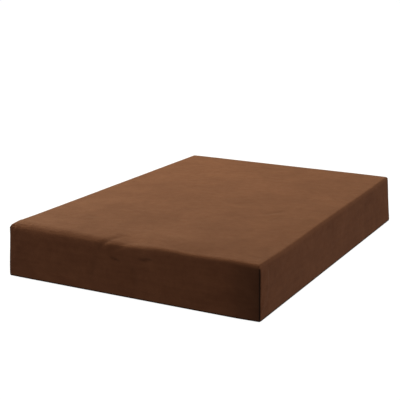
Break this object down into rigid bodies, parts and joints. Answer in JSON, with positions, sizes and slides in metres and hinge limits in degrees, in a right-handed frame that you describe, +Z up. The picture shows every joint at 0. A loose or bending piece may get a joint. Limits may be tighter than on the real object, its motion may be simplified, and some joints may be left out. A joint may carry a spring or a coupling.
{
  "type": "pet bed",
  "caption": "Rectangular foam mattress bed for a large dog, in a smooth microsuede cover with soft top edges and a zip along one long side.",
  "frame": {"origin": "centre of the underside, on the floor", "axes": "+Z up, Y along the long side, X along the short side, zipped long side facing -X"},
  "size_m": [0.9191, 1.3208, 0.1778],
  "materials": {
    "microsuede": "matte",
    "underside_cloth": "matte",
    "soft_foam": "matte",
    "firm_foam": "matte",
    "zip_tape": "matte",
    "zip_coil": "satin",
    "zip_metal": "satin",
    "label_cloth": "matte"
  },
  "bodies": {
    "bed": {"cover_top_and_sides": "microsuede", "corner_seam_front_left": "microsuede", "corner_seam_front_right": "microsuede", "corner_seam_back_right": "microsuede", "corner_seam_back_left": "microsuede", "bottom_seam": "microsuede", "zip_end_tab_front": "microsuede", "zip_end_tab_back": "microsuede", "cover_bottom_panel": "underside_cloth", "foam_layer_top": "soft_foam", "foam_layer_bottom": "soft_foam", "foam_core": "firm_foam", "zip_tape_upper": "zip_tape", "zip_tape_lower": "zip_tape", "zip_coil_upper": "zip_coil", "zip_coil_lower": "zip_coil", "zip_top_stop_upper": "zip_metal", "zip_top_stop_lower": "zip_metal", "zip_bottom_stop": "zip_metal", "care_label": "label_cloth"},
    "zip_slider": {"zip_slider_body": "zip_metal"},
    "zip_pull": {"zip_pull_tab": "zip_metal"}
  },
  "joints": [
    {"name": "zip_slide", "type": "slide", "parent": "bed", "child": "zip_slider", "axis": [0, 1, 0], "range_m": [0, 1.158]},
    {"name": "zip_pull_hinge", "type": "hinge", "parent": "zip_slider", "child": "zip_pull", "pos_m": [-0.46015, -0.579, 0.028], "axis": [0, 0, 1], "range_deg": [0, 175]}
  ]
}
